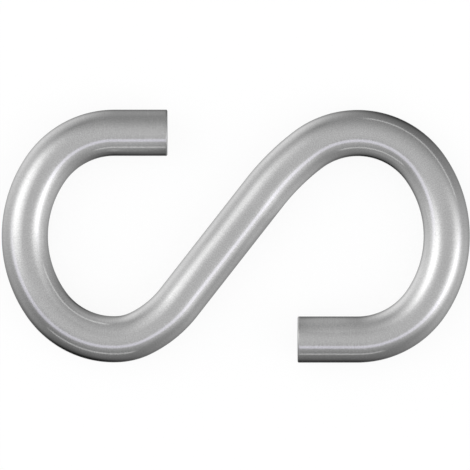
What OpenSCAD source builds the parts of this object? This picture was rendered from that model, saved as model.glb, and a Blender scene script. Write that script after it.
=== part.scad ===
// S hook, cold-bent from one length of round steel bar.
// It lies flat, as it rests on a table: X runs along the hook, Y across it and Z up from the table.
// The origin is the middle of the overall box, at table height. Every radius is to the bar's centreline.

/* [Bar] */
// Diameter of the round bar
bar_d = 6; // [4:0.5:8]
// Bevel that takes the sharp edge off both cut ends
end_bevel = 0.15; // [0.05:0.05:0.6]

/* [Both hooks] */
// Radius of the shoulder, where the bar turns away from its straight tip
shoulder_r = 10.8; // [9:0.1:13]
// Angle through which the shoulder turns
shoulder_angle = 55.5; // [48:0.5:62]
// Radius of the side, the flattest stretch, across each end of the hook
side_r = 15.4; // [13:0.1:18]
// Angle through which the side turns
side_angle = 69.5; // [62:0.5:77]
// Radius of the belly, which turns the bar back towards the leg
belly_r = 10.7; // [9:0.1:13]

/* [Left hook] */
// Straight tip of the left hook
left_tip_l = 6.9; // [4:0.05:10]
// Radius of the heel, a tight spot after the left belly
left_heel_r = 7.5; // [6:0.1:10]
// Angle through which the heel turns
left_heel_angle = 23; // [17:0.5:29]
// Radius of the easy curve from the heel into the leg
left_flank_r = 14.2; // [11:0.1:18]
// Angle of that curve
left_flank_angle = 26; // [20:0.5:32]

/* [Right hook] */
// Straight tip of the right hook
right_tip_l = 7.75; // [4:0.05:10]
// Radius of the easy curve from the right belly into the leg
right_flank_r = 30.2; // [22:0.1:40]
// Angle of that curve
right_flank_angle = 15; // [9:0.5:21]

/* [Leg] */
// Straight leg between the two hooks
leg_l = 18.15; // [14:0.05:24]
// Angle between the leg and the two tips
leg_angle = 52; // [47:0.5:57]

/* [Hidden] */
$fn = 96;
steel = [0.66, 0.66, 0.67];
bar_r = bar_d / 2;

// Each hook turns its tip right back past the leg, so the two tips stay parallel,
// and the belly makes up what the other stretches leave of that turn
hook_turn = 180 + leg_angle;
left_belly_angle = hook_turn - shoulder_angle - side_angle - left_heel_angle - left_flank_angle;
right_belly_angle = hook_turn - shoulder_angle - side_angle - right_flank_angle;

// Bending table from the root of the left tip to the root of the right one: [radius, angle, length].
// A bend has a radius and an angle, positive to the left, and a straight has a length
TABLE = [
    [shoulder_r, shoulder_angle, 0],
    [side_r, side_angle, 0],
    [belly_r, left_belly_angle, 0],
    [left_heel_r, left_heel_angle, 0],
    [left_flank_r, left_flank_angle, 0],
    [0, 0, leg_l],
    [right_flank_r, -right_flank_angle, 0],
    [belly_r, -right_belly_angle, 0],
    [side_r, -side_angle, 0],
    [shoulder_r, -shoulder_angle, 0]
];
LAST = len(TABLE);

// A station is [point, heading] on the centreline, and the first is the root of the left tip
START = [[0, 0], 180];
function ahead(heading) = [cos(heading), sin(heading)];
function left_of(heading) = [-sin(heading), cos(heading)];
function centre_of(station, row) = station[0] + sign(row[1]) * row[0] * left_of(station[1]);
function after(station, row) =
    let (heading = station[1] + row[1])
    [centre_of(station, row) - sign(row[1]) * row[0] * left_of(heading) + row[2] * ahead(heading), heading];
function station(i) = i == 0 ? START : after(station(i - 1), TABLE[i - 1]);
STATIONS = [for (i = [0:LAST]) station(i)];
ENDS = [
    [STATIONS[0][0] - left_tip_l * ahead(STATIONS[0][1]), STATIONS[0][1]],
    [STATIONS[LAST][0] + right_tip_l * ahead(STATIONS[LAST][1]), STATIONS[LAST][1]]
];

// First of the directions from a bend's centre to its arc, counted to the left
function arc_from(i) = STATIONS[i][1] - 90 * sign(TABLE[i][1]) + min(TABLE[i][1], 0);
function around(angle) = (angle % 360 + 360) % 360;
function faces(i, dir) = around(dir - arc_from(i)) <= abs(TABLE[i][1]);

// How far the bar reaches in a direction, over the rims of all stations and the bends that face that way
function rim_reach(station, dir) = station[0] * ahead(dir) + bar_r * abs(sin(dir - station[1]));
function bend_reach(i, dir) = centre_of(STATIONS[i], TABLE[i]) * ahead(dir) + TABLE[i][0] + bar_r;
function reach(dir) = max(concat(
    [for (s = concat(STATIONS, ENDS)) rim_reach(s, dir)],
    [for (i = [0:LAST - 1]) if (faces(i, dir)) bend_reach(i, dir)]
));
BOX_MIDDLE = [reach(0) - reach(180), reach(90) - reach(270)] / 2;

// Rounding of their places would leave gaps of up to 0.00005 mm between the pieces of the bar.
// They are placed and joined at a thousandth of their size, where such a gap is too small to part them
joining_scale = 0.001;

module at(station) {
    scale(joining_scale) translate(station[0]) rotate(station[1]) children();
}

module straight(length) {
    rotate([0, 90, 0]) cylinder(h = length, r = bar_r);
}

// Straight end of the bar, from its root to the bevelled cut
module tip(length) {
    straight(length - end_bevel);
    translate([length - end_bevel, 0, 0]) rotate([0, 90, 0])
        cylinder(h = end_bevel, r1 = bar_r, r2 = bar_r - end_bevel);
}

module bend(radius, angle) {
    rotate_extrude(angle = angle) translate([radius, 0]) circle(r = bar_r);
}

// Row of the bending table, in its place
module table_row(i) {
    row = TABLE[i];
    if (row[1] == 0)
        at(STATIONS[i]) straight(row[2]);
    else
        at([centre_of(STATIONS[i], row), arc_from(i)]) bend(row[0], abs(row[1]));
}

module hook() {
    color(steel) translate([-BOX_MIDDLE[0], -BOX_MIDDLE[1], bar_r]) scale(1 / joining_scale) {
        at([STATIONS[0][0], STATIONS[0][1] + 180]) tip(left_tip_l);
        for (i = [0:LAST - 1]) table_row(i);
        at(STATIONS[LAST]) tip(right_tip_l);
    }
}

hook();
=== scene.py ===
"""Looks of the s hook: one length of satin steel bar, bent into an S and lying flat on a pale table."""

import math

import bmesh
import bpy
import numpy as np
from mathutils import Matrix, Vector


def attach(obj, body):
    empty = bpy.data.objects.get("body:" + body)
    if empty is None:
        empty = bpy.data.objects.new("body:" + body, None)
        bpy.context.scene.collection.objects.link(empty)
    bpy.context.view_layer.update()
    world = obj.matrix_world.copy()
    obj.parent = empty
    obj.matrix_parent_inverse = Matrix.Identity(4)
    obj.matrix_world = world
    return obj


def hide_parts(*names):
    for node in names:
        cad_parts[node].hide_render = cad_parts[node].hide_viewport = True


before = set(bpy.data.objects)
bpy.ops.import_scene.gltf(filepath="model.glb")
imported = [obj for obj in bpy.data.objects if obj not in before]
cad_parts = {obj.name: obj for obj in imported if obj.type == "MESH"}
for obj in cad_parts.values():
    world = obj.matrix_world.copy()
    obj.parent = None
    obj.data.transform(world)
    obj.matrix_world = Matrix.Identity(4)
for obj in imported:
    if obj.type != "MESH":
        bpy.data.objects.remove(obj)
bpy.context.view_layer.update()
MM = 0.001
WHITE = (1, 1, 1, 1)

# ---------------------------------------------------------------- the bar, in millimetres and degrees

BAR_R = 3.0
END_BEVEL = 0.15
LEFT_TIP_L = 6.9
RIGHT_TIP_L = 7.75
LEG_L = 18.15
# Bends: radius of the bar's line and angle
SHOULDER = (10.8, 55.5)
SIDE = (15.4, 69.5)
LEFT_BELLY = (10.7, 58.0)
LEFT_HEEL = (7.5, 23.0)
LEFT_FLANK = (14.2, 26.0)
RIGHT_FLANK = (30.2, 15.0)
RIGHT_BELLY = (10.7, 92.0)
# Bending table from cut to cut: radius, angle, positive to the left, and straight length
BENDING_TABLE = [
    (0, 0, LEFT_TIP_L),
    *((radius, angle, 0) for radius, angle in (SHOULDER, SIDE, LEFT_BELLY, LEFT_HEEL, LEFT_FLANK)),
    (0, 0, LEG_L),
    *((radius, -angle, 0) for radius, angle in (RIGHT_FLANK, RIGHT_BELLY, SIDE, SHOULDER)),
    (0, 0, RIGHT_TIP_L),
]

# Length of the bar from one ring of the mesh to the next, and corners of a ring
RING_STEP = 0.16
AROUND = 64
UV_NAME = "along_around"
# The saw leaves each cut a hair hollow. Its rings: depth, share of the bar's radius
DISH = [(0.012, 0.35), (0.009, 0.7), (0.003, 0.9)]
# Rings of the broken edge round a cut: distance from the cut and below the bar's surface, both in bevels,
# then how worn and how sawn the steel is there
BROKEN_EDGE = [(0, 1, 1, 0.2), (0.3, 0.55, 1, 0), (0.62, 0.2, 0.8, 0), (1, 0.04, 0.5, 0), (1.6, 0, 0.15, 0)]
EDGE_REACH = 3.0 * END_BEVEL


def centreline():
    """Points and headings along the bar's line, from the left cut to the right one, and their distances."""
    point, heading = np.zeros(2), math.pi
    points, headings = [point], [heading]
    for radius, angle, length in BENDING_TABLE:
        turn = math.radians(angle)
        side = math.copysign(1, turn)
        centre = point + side * radius * np.array([-math.sin(heading), math.cos(heading)])
        ahead = length * np.array([math.cos(heading), math.sin(heading)])
        rings = round((length + radius * abs(turn)) / RING_STEP)
        for share in np.arange(1, rings + 1) / rings:
            facing = heading + share * turn
            bent = centre - side * radius * np.array([-math.sin(facing), math.cos(facing)])
            points.append(bent + share * ahead)
            headings.append(facing)
        point, heading = points[-1], headings[-1]
    points = np.array(points)
    run = np.r_[0, np.cumsum(np.hypot(*np.diff(points, axis=0).T))]
    across = np.c_[-np.sin(headings), np.cos(headings)]
    # The middle of the bar's outline goes to the frame's origin
    rim = np.r_[points + BAR_R * across, points - BAR_R * across]
    return points - (rim.min(0) + rim.max(0)) / 2, np.array(headings), run


def bar_rings(run):
    """Rings from cut to cut: distance along the line, radius, distance along the surface, wear, cut."""
    start = [(depth, share * BAR_R, (share - 1) * BAR_R, 0, 1) for depth, share in DISH]
    start += [(out * END_BEVEL, BAR_R - down * END_BEVEL, out * END_BEVEL, wear, cut)
              for out, down, wear, cut in BROKEN_EDGE]
    total = run[-1]
    middle = [(at, BAR_R, at, 0, 0) for at in run if EDGE_REACH < at < total - EDGE_REACH]
    end = [(total - at, radius, total - along, wear, cut)
           for at, radius, along, wear, cut in reversed(start)]
    return np.array(start + middle + end)


def bar_mesh(name):
    """The bar as rings swept along its line, with broken edges and slightly hollow cuts at both ends."""
    points, headings, run = centreline()
    rings = bar_rings(run)
    at, radius, along, wear, cut = rings.T

    def on_line(distance):
        return [np.interp(distance, run, axis)[:, None] for axis in (*points.T, headings)]

    x, y, facing = on_line(at)
    # Each ring starts at its lowest corner, so the steel's grain has its seam on the table
    angle = 2 * math.pi * np.arange(AROUND) / AROUND - math.pi / 2
    side, up = np.outer(radius, np.cos(angle)), np.outer(radius, np.sin(angle))
    swept = np.stack([x - side * np.sin(facing), y + side * np.cos(facing), BAR_R + up], axis=-1)
    x, y, _ = on_line([at[0], at[-1]])
    middles = np.c_[x, y, [BAR_R, BAR_R]]
    vertices = np.r_[swept.reshape(-1, 3), middles] * MM

    faces, corner_uv = [], []
    girth = 2 * math.pi * BAR_R
    for i in range(len(rings) - 1):
        for k in range(AROUND):
            here, beside = i * AROUND + k, i * AROUND + (k + 1) % AROUND
            faces.append((here, beside, beside + AROUND, here + AROUND))
            left, right = girth * k / AROUND, girth * (k + 1) / AROUND
            corner_uv += [(along[i], left), (along[i], right), (along[i + 1], right), (along[i + 1], left)]
    # A fan of triangles closes each cut, from its first ring to its middle
    last = (len(rings) - 1) * AROUND
    for first, middle, turn in ((0, len(vertices) - 2, -1), (last, len(vertices) - 1, 1)):
        for k in range(AROUND):
            faces.append((middle, *(first + k, first + (k + 1) % AROUND)[::turn]))
            corner_uv += [(0, 0)] * 3

    mesh = bpy.data.meshes.new(name)
    mesh.from_pydata(vertices.tolist(), [], faces)
    layer = mesh.uv_layers.new(name=UV_NAME)
    layer.data.foreach_set("uv", (np.array(corner_uv) * MM).astype(np.float32).ravel())
    for attribute, values, at_middle in (("wear", wear, 0), ("cut", cut, 1)):
        values = np.r_[np.repeat(values, AROUND), at_middle, at_middle].astype(np.float32)
        mesh.attributes.new(attribute, "FLOAT", "POINT").data.foreach_set("value", values)
    mesh.polygons.foreach_set("use_smooth", [True] * len(mesh.polygons))
    mesh.update()
    return mesh


def add_object(name, data):
    piece = bpy.data.objects.new(name, data)
    bpy.context.scene.collection.objects.link(piece)
    return piece


# ---------------------------------------------------------------- node helpers

# Most of a noise lies between these values
NOISE_LOW = 0.3
NOISE_HIGH = 0.7


def link(tree, out, into):
    tree.links.new(out, into)


def feed(tree, socket, value):
    """Links a socket where the value is another node's output. Sets it where it's a number or a vector."""
    if isinstance(value, bpy.types.NodeSocket):
        link(tree, value, socket)
    else:
        socket.default_value = value


def math_node(tree, operation, *values):
    node = tree.nodes.new("ShaderNodeMath")
    node.operation = operation
    for socket, value in zip(node.inputs, values):
        feed(tree, socket, value)
    return node.outputs[0]


def add(tree, a, b):
    return math_node(tree, "ADD", a, b)


def multiply(tree, a, b):
    return math_node(tree, "MULTIPLY", a, b)


def vector_node(tree, operation, a, b):
    node = tree.nodes.new("ShaderNodeVectorMath")
    node.operation = operation
    feed(tree, node.inputs[0], a)
    feed(tree, node.inputs[1], b)
    return node.outputs["Value" if operation == "DOT_PRODUCT" else "Vector"]


def new_tree(owner):
    """The empty node tree of a new material or world."""
    owner.use_nodes = True
    owner.node_tree.nodes.clear()
    return owner.node_tree


def emitter(tree, kind, strength):
    """A white emission or background shader."""
    node = tree.nodes.new(kind)
    node.inputs["Color"].default_value = WHITE
    node.inputs["Strength"].default_value = strength
    return node.outputs[0]


def mix_shaders(tree, share, a, b):
    node = tree.nodes.new("ShaderNodeMixShader")
    for socket, out in zip(node.inputs, (share, a, b)):
        link(tree, out, socket)
    return node.outputs[0]


def camera_ray(tree):
    return tree.nodes.new("ShaderNodeLightPath").outputs["Is Camera Ray"]


def noise(tree, place, scale, detail, roughness=0.55):
    """Noise in 0..1, with its scale per metre along X, Y and Z."""
    node = tree.nodes.new("ShaderNodeTexNoise")
    node.inputs["Scale"].default_value = 1.0
    node.inputs["Detail"].default_value = detail
    node.inputs["Roughness"].default_value = roughness
    link(tree, vector_node(tree, "MULTIPLY", place, scale), node.inputs["Vector"])
    return node.outputs["Fac"]


def map_range(tree, value, ranges, kind="LINEAR"):
    node = tree.nodes.new("ShaderNodeMapRange")
    node.interpolation_type = kind
    for name, x in zip(("From Min", "From Max", "To Min", "To Max"), ranges):
        node.inputs[name].default_value = x
    link(tree, value, node.inputs["Value"])
    return node.outputs["Result"]


def spread(tree, value, low, high):
    """A noise, spread from low to high."""
    return map_range(tree, value, (NOISE_LOW, NOISE_HIGH, low, high))


def step(tree, value, low, high):
    """0 below low and 1 above high, with a smooth step between them."""
    return map_range(tree, value, (low, high, 0, 1), "SMOOTHSTEP")


# ---------------------------------------------------------------- satin steel

STEEL = 0.445
# Sizes of the marks as their scale per metre
GRAIN_SCALE = (6200, 6200, 6200)
STREAK_SCALE = (7000, 520, 1)
CLOUD_SCALE = (260, 260, 260)
SAW_SCALE = (2500, 2500, 250)
# Changes of the base colour as shares of it, and a bound for their sum
GRAIN_TONE = 0.075
STREAK_TONE = 0.03
CLOUD_TONE = 0.02
WORN_TONE = -0.14
SAW_TONE_LOW, SAW_TONE_HIGH = -0.1, 0.04
TONE_RANGE = 0.3
ROUGHNESS = 0.15
GRAIN_ROUGHNESS = 0.02
STREAK_ROUGHNESS = 0.01
WORN_ROUGHNESS = 0.35
CUT_ROUGHNESS = 0.15
RELIEF_HEIGHT = 0.008 * MM
RELIEF_STRENGTH = 0.4
STREAK_RELIEF = 0.5


def steel_material():
    material = bpy.data.materials.new("satin_steel")
    material.use_nodes = True
    tree = material.node_tree
    shader = tree.nodes["Principled BSDF"]
    shader.inputs["Metallic"].default_value = 1.0
    place = tree.nodes.new("ShaderNodeTexCoord").outputs["Object"]
    uv = tree.nodes.new("ShaderNodeUVMap")
    uv.uv_map = UV_NAME

    def attribute(name):
        node = tree.nodes.new("ShaderNodeAttribute")
        node.attribute_name = name
        return node.outputs["Fac"]

    grain = noise(tree, place, GRAIN_SCALE, detail=1.5, roughness=0.5)
    streaks = noise(tree, uv.outputs["UV"], STREAK_SCALE, detail=2.0)
    cloud = noise(tree, place, CLOUD_SCALE, detail=3.0)
    saw = noise(tree, place, SAW_SCALE, detail=2.0)
    wear, cut = attribute("wear"), attribute("cut")

    # Grain, fainter streaks and clouds, duller edges round the cuts, and the saw's marks on the cuts
    tone = add(tree, spread(tree, grain, -GRAIN_TONE, GRAIN_TONE),
               spread(tree, streaks, -STREAK_TONE, STREAK_TONE))
    tone = add(tree, tone, spread(tree, cloud, -CLOUD_TONE, CLOUD_TONE))
    tone = add(tree, tone, multiply(tree, wear, WORN_TONE))
    tone = add(tree, tone, multiply(tree, cut, spread(tree, saw, SAW_TONE_LOW, SAW_TONE_HIGH)))
    tint = tree.nodes.new("ShaderNodeMix")
    tint.data_type = "RGBA"
    tint.inputs["A"].default_value = (*[STEEL * (1 - TONE_RANGE)] * 3, 1)
    tint.inputs["B"].default_value = (*[STEEL * (1 + TONE_RANGE)] * 3, 1)
    link(tree, map_range(tree, tone, (-TONE_RANGE, TONE_RANGE, 0, 1)), tint.inputs["Factor"])
    link(tree, tint.outputs["Result"], shader.inputs["Base Color"])

    rough = add(tree, spread(tree, grain, ROUGHNESS - GRAIN_ROUGHNESS, ROUGHNESS + GRAIN_ROUGHNESS),
                spread(tree, streaks, -STREAK_ROUGHNESS, STREAK_ROUGHNESS))
    rough = add(tree, rough, multiply(tree, wear, WORN_ROUGHNESS))
    rough = add(tree, rough, multiply(tree, cut, CUT_ROUGHNESS))
    link(tree, rough, shader.inputs["Roughness"])

    relief = add(tree, grain, multiply(tree, streaks, STREAK_RELIEF))
    relief = add(tree, relief, multiply(tree, cut, saw))
    bump = tree.nodes.new("ShaderNodeBump")
    bump.inputs["Strength"].default_value = RELIEF_STRENGTH
    bump.inputs["Distance"].default_value = RELIEF_HEIGHT
    link(tree, relief, bump.inputs["Height"])
    link(tree, bump.outputs["Normal"], shader.inputs["Normal"])
    return material


# ---------------------------------------------------------------- table and camera

TABLE_SIZE = 5.0
TABLE_GAP = 0.02 * MM
TABLE_COLOUR = 0.97
# Share of the table's white that its own shading can't darken, so that the hook's shadow on it stays soft
TABLE_EVENNESS = 0.9
LENS = 1500.0
SENSOR = 36.0
VIEW_WIDTH = 61.0 * MM
VIEW_CENTRE = (-0.1 * MM, 0.15 * MM)
NEAREST_SEEN = 0.01
FARTHEST_SEEN = 20


def table_material():
    material = bpy.data.materials.new("pale_table")
    tree = new_tree(material)
    diffuse = tree.nodes.new("ShaderNodeBsdfDiffuse")
    diffuse.inputs["Color"].default_value = (TABLE_COLOUR, TABLE_COLOUR, TABLE_COLOUR, 1)
    white = emitter(tree, "ShaderNodeEmission", 1.0)
    even = multiply(tree, camera_ray(tree), TABLE_EVENNESS)
    out = tree.nodes.new("ShaderNodeOutputMaterial")
    link(tree, mix_shaders(tree, even, diffuse.outputs[0], white), out.inputs["Surface"])
    return material


def add_table():
    mesh = bpy.data.meshes.new("table")
    half = TABLE_SIZE / 2
    corners = [(-half, -half, 0), (half, -half, 0), (half, half, 0), (-half, half, 0)]
    mesh.from_pydata(corners, [], [(0, 1, 2, 3)])
    mesh.materials.append(table_material())
    table = add_object("table", mesh)
    table.location.z = -TABLE_GAP
    # The steel doesn't mirror the table: what its lower flanks see is part of the studio below
    table.visible_glossy = False


def add_camera():
    """A long lens straight above, because the photograph shows next to no perspective."""
    data = bpy.data.cameras.new("camera")
    data.lens, data.sensor_width = LENS, SENSOR
    data.clip_start, data.clip_end = NEAREST_SEEN, FARTHEST_SEEN
    camera = add_object("camera", data)
    camera.location = (*VIEW_CENTRE, BAR_R * MM + VIEW_WIDTH * LENS / SENSOR)
    bpy.context.scene.camera = camera


# ---------------------------------------------------------------- studio

# A pale room: its level, how much that grows along X, Y and Z, and the least light from anywhere
ROOM_LEVEL = 1.0
ROOM_TILT = (0.1, -0.5, 0.2)
DARKEST = 0.02
# Soft lamps and, with a negative gain, dark cards. Those below the table's height show in the lower halves
# of the bar's flanks. In degrees: azimuth, elevation and half of the width at half strength. Then gain
LAMPS = {
    "left_softbox": (164, 38, 19, 1.7),
    "right_softbox": (-15, 32, 18, 1.6),
    "left_reflector": (135, -35, 32, 0.9),
    "right_reflector": (-10, -20, 35, 0.7),
    "left_fill": (158, 0, 15, 0.13),
    "front_card": (-70, 2, 55, -1.1),
    "left_front_card": (-135, 20, 30, -0.5),
    "low_front_card": (-115, -55, 30, -0.7),
    "narrow_front_card": (-120, -16, 13, -0.12),
    "low_right_card": (15, -15, 45, -0.5),
    "low_back_card": (75, -60, 20, -0.5),
    "narrow_back_card": (80, -30, 16, -0.1),
    "narrow_right_card": (-38, 15, 16, -0.09),
    "high_back_card": (114, 12, 9, -0.14),
}
# Bent tubes of light, each an arc of a ring. In degrees: the ring's azimuth, elevation and angular radius,
# half of the tube's width, and the arc's azimuth, elevation, half length and how softly it ends. Then gain
# and tint
TUBES = {
    "long_tube": ((92, 55, 74), 7, (-91, 47, 72, 22), 0.53, (0.96, 0.92, 1.13)),
    "left_hairline": ((70, 79, 88.5), 2.8, (-103, 19, 28, 2), 0.68, (1, 1, 1)),
    "right_hairline": ((-151, 86, 82.5), 2.8, (51, 8, 34, 2), 0.67, (1, 1, 1)),
}
# Half of the soft edge along a tube, in degrees
TUBE_EDGE = 1.5
# Faint glows that only reflections show. Five stand in the hook's eyes, for the light that the bar's two
# sides throw at each other, and the last two stand for lamps that are near on the left. In millimetres:
# centre and half lengths along X, Y and Z. Then strength per metre of depth
GLOWS = {
    "glow_left": ((-14, -2, 10), (6, 9, 10), 11),
    "glow_right": ((13, 0.5, 7.5), (5, 4, 18), 20),
    "glow_low_left": ((-17, -6.5, 2), (2, 3, 4.5), 45),
    "glow_low_right": ((11, -6, 3), (4, 3, 4), 16),
    "glow_high_left": ((-12, 6, 1), (5, 2, 3), 14),
    "glow_far_left": ((-40, 7, 30), (8, 12, 8), 16),
    "glow_back_left": ((-18, 48, -20), (20, 14, 25), 3),
}
GLOW_SUBDIVISIONS = 4


def towards(azimuth, elevation):
    a, e = math.radians(azimuth), math.radians(elevation)
    return Vector((math.cos(a) * math.cos(e), math.sin(a) * math.cos(e), math.sin(e)))


def lamp_light(tree, direction, azimuth, elevation, half_width, gain):
    """Light of a soft round lamp, strongest in its middle."""
    sharpness = math.log(2) / (1 - math.cos(math.radians(half_width)))
    near = vector_node(tree, "DOT_PRODUCT", direction, towards(azimuth, elevation) * sharpness)
    return multiply(tree, math_node(tree, "EXPONENT", add(tree, near, -sharpness)), gain)


def tube_light(tree, direction, ring, width, arc):
    """1 on an arc of a ring and 0 off it, with soft edges."""
    *ring_axis, ring_radius = ring
    *arc_middle, half_length, end = arc
    axis, middle = towards(*ring_axis), towards(*arc_middle)
    middle = (middle - middle.dot(axis) * axis).normalized()
    radius = math.radians(ring_radius)
    across = vector_node(tree, "DOT_PRODUCT", direction, axis / math.sin(radius))
    off = math_node(tree, "ABSOLUTE", add(tree, across, -1 / math.tan(radius)))
    inside = multiply(tree, off, -1.0)
    line = step(tree, inside, *(-math.radians(width + edge) for edge in (TUBE_EDGE, -TUBE_EDGE)))
    along = vector_node(tree, "DOT_PRODUCT", direction, middle / math.sin(radius))
    ends = step(tree, along, *(math.cos(math.radians(half_length + fade)) for fade in (end, -end)))
    return multiply(tree, line, ends)


def tinted(tree, level, tint):
    node = tree.nodes.new("ShaderNodeCombineXYZ")
    for socket, share in zip(node.inputs, tint):
        link(tree, multiply(tree, level, share), socket)
    return node.outputs[0]


def add_studio():
    """The world: the hook sees the room with its lamps and tubes, and the camera sees plain white."""
    world = bpy.data.worlds.new("studio")
    bpy.context.scene.world = world
    tree = new_tree(world)
    direction = tree.nodes.new("ShaderNodeTexCoord").outputs["Generated"]
    level = add(tree, vector_node(tree, "DOT_PRODUCT", direction, ROOM_TILT), ROOM_LEVEL)
    for lamp in LAMPS.values():
        level = add(tree, level, lamp_light(tree, direction, *lamp))
    light = tinted(tree, level, (1, 1, 1))
    for *shape, gain, tint in TUBES.values():
        tube = tinted(tree, tube_light(tree, direction, *shape), [gain * share for share in tint])
        light = vector_node(tree, "ADD", light, tube)
    light = vector_node(tree, "MAXIMUM", light, (DARKEST, DARKEST, DARKEST))
    background = tree.nodes.new("ShaderNodeBackground")
    link(tree, light, background.inputs["Color"])
    white = emitter(tree, "ShaderNodeBackground", 1.0)
    out = tree.nodes.new("ShaderNodeOutputWorld")
    link(tree, mix_shaders(tree, camera_ray(tree), background.outputs[0], white), out.inputs["Surface"])


def add_glow(name, centre, half_lengths, strength):
    """An ellipsoid of light, the brighter the deeper a reflected ray runs through it."""
    ball = bmesh.new()
    bmesh.ops.create_icosphere(ball, subdivisions=GLOW_SUBDIVISIONS, radius=1.0)
    for vertex in ball.verts:
        vertex.co = [MM * (c + h * x) for c, h, x in zip(centre, half_lengths, vertex.co)]
    mesh = bpy.data.meshes.new(name)
    ball.to_mesh(mesh)
    ball.free()
    material = bpy.data.materials.new(name)
    tree = new_tree(material)
    out = tree.nodes.new("ShaderNodeOutputMaterial")
    link(tree, emitter(tree, "ShaderNodeEmission", strength), out.inputs["Volume"])
    mesh.materials.append(material)
    glow = add_object(name, mesh)
    glow.visible_camera = glow.visible_diffuse = glow.visible_transmission = False
    glow.visible_volume_scatter = glow.visible_shadow = False


# ---------------------------------------------------------------- scene

hook = add_object("hook_bar", bar_mesh("hook_bar"))
hook.data.materials.append(steel_material())
# Its two sides light each other through the glows in place of sharp mirror images
hook.visible_glossy = False
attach(hook, "root")
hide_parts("hook")

add_table()
add_camera()
add_studio()
for name, glow in GLOWS.items():
    add_glow(name, *glow)
bpy.context.scene.view_settings.view_transform = "Standard"
